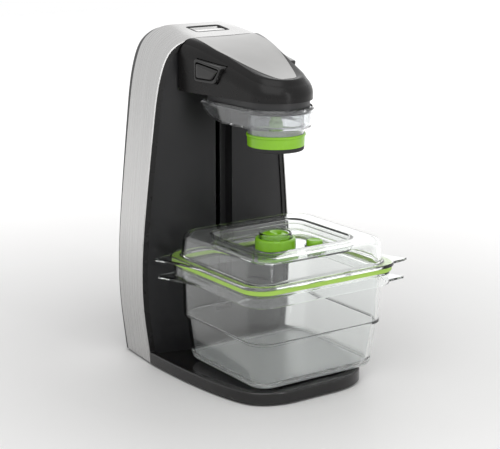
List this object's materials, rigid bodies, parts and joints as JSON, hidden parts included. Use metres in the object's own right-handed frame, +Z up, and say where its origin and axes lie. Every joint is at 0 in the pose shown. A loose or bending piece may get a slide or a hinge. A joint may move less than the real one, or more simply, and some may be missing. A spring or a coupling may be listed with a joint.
{
  "type": "vacuum sealer",
  "caption": "Countertop vacuum sealing station: steel arched column with a sliding suction head and drip tray over a clear lidded food container on a black base.",
  "frame": {"origin": "on the table under the middle rubber foot, straight below the middle of the column's bowed front panel", "axes": "+Z up, the front faces -Y, +X to the right of someone facing the front"},
  "size_m": [0.198, 0.2371, 0.3207],
  "materials": {
    "steel": "brushed stainless sheet",
    "black_gloss": "gloss black",
    "black_satin": "satin black",
    "clear_plastic": "clear",
    "green_plastic": "lime green",
    "green_rubber": "soft lime green",
    "black_rubber": "soft black",
    "silver_plastic": "silver",
    "bright_steel": "ground steel",
    "grey_hose": "soft grey",
    "motor_steel": "plated steel",
    "board": "circuit board",
    "brass": "bearing bronze",
    "white_plastic": "natural white"
  },
  "bodies": {
    "stand": {"steel_band": "steel", "front_trim": "black_gloss", "front_panel": "black_gloss", "rear_shell": "black_satin", "track_channel": "black_satin", "base_shell": "black_gloss", "base_bottom_plate": "black_satin", "base_screws": "bright_steel", "rubber_feet": "black_rubber", "container_mat": "black_rubber", "guide_rods": "bright_steel", "lower_rod_bracket": "black_satin", "upper_rod_bracket": "black_satin", "top_button_frame": "black_satin", "top_switch": "black_satin", "top_button_spring": "bright_steel", "motor_can": "motor_steel", "pump_block": "black_satin", "pump_diaphragm": "black_rubber", "pump_head": "black_satin", "connecting_rod": "white_plastic", "motor_saddle": "black_satin", "pump_mounts": "black_rubber", "vacuum_hose": "grey_hose", "circuit_board": "board", "board_standoffs": "black_satin", "power_supply": "black_satin", "cord_gland": "black_rubber"},
    "head": {"carriage": "black_satin", "carriage_bushes": "brass", "neck_duct": "black_satin", "head_cover": "black_gloss", "head_floor": "black_satin", "head_back_plate": "black_satin", "head_hose": "grey_hose", "suction_tube": "green_plastic", "left_button_spring": "bright_steel", "right_button_spring": "bright_steel"},
    "left_release": {"left_button": "black_gloss", "left_brake_bar": "black_satin", "left_brake_pad": "black_rubber"},
    "right_release": {"right_button": "black_gloss", "right_brake_bar": "black_satin", "right_brake_pad": "black_rubber"},
    "reservoir": {"drip_tray": "clear_plastic", "nozzle_ring": "green_plastic", "nozzle_seal": "black_rubber"},
    "power_button": {"top_button": "silver_plastic"},
    "rotor": {"motor_rotor": "motor_steel", "crank_disc": "black_satin"},
    "container": {"container_tub": "clear_plastic"},
    "lid": {"container_lid": "clear_plastic", "lid_gasket": "green_rubber", "valve_collar": "green_plastic", "vent_socket": "clear_plastic"},
    "valve": {"valve_cap": "green_plastic", "valve_flap": "black_rubber"},
    "vent": {"vent_button": "green_plastic"}
  },
  "joints": [
    {"name": "head_slide", "type": "slide", "parent": "stand", "child": "head", "axis": [0, 0, 1], "range_m": [-0.0922, 0], "deforming": ["vacuum_hose"]},
    {"name": "left_release_press", "type": "slide", "parent": "head", "child": "left_release", "axis": [1, 0, 0], "range_m": [0, 0.0025], "stiffness_N_per_m": 800, "deforming": ["left_button_spring"]},
    {"name": "right_release_press", "type": "slide", "parent": "head", "child": "right_release", "axis": [-1, 0, 0], "range_m": [0, 0.0025], "stiffness_N_per_m": 800, "deforming": ["right_button_spring"]},
    {"name": "reservoir_pull", "type": "slide", "parent": "head", "child": "reservoir", "axis": [0, 0, -1], "range_m": [0, 0.03]},
    {"name": "power_button_press", "type": "slide", "parent": "stand", "child": "power_button", "axis": [0, 0, -1], "range_m": [0, 0.002], "stiffness_N_per_m": 900, "deforming": ["top_button_spring"]},
    {"name": "rotor_spin", "type": "hinge", "parent": "stand", "child": "rotor", "pos_m": [0, 0.046, 0.062], "axis": [1, 0, 0], "continuous": true},
    {"name": "container_slide", "type": "slide", "parent": "stand", "child": "container", "axis": [0, -1, 0], "range_m": [0, 0.2]},
    {"name": "lid_lift", "type": "slide", "parent": "container", "child": "lid", "axis": [0, 0, 1], "range_m": [0, 0.06]},
    {"name": "valve_lift", "type": "slide", "parent": "lid", "child": "valve", "axis": [0, 0, 1], "range_m": [0, 0.0025]},
    {"name": "vent_press", "type": "slide", "parent": "lid", "child": "vent", "axis": [0, 0, -1], "range_m": [0, 0.0015], "stiffness_N_per_m": 300}
  ]
}
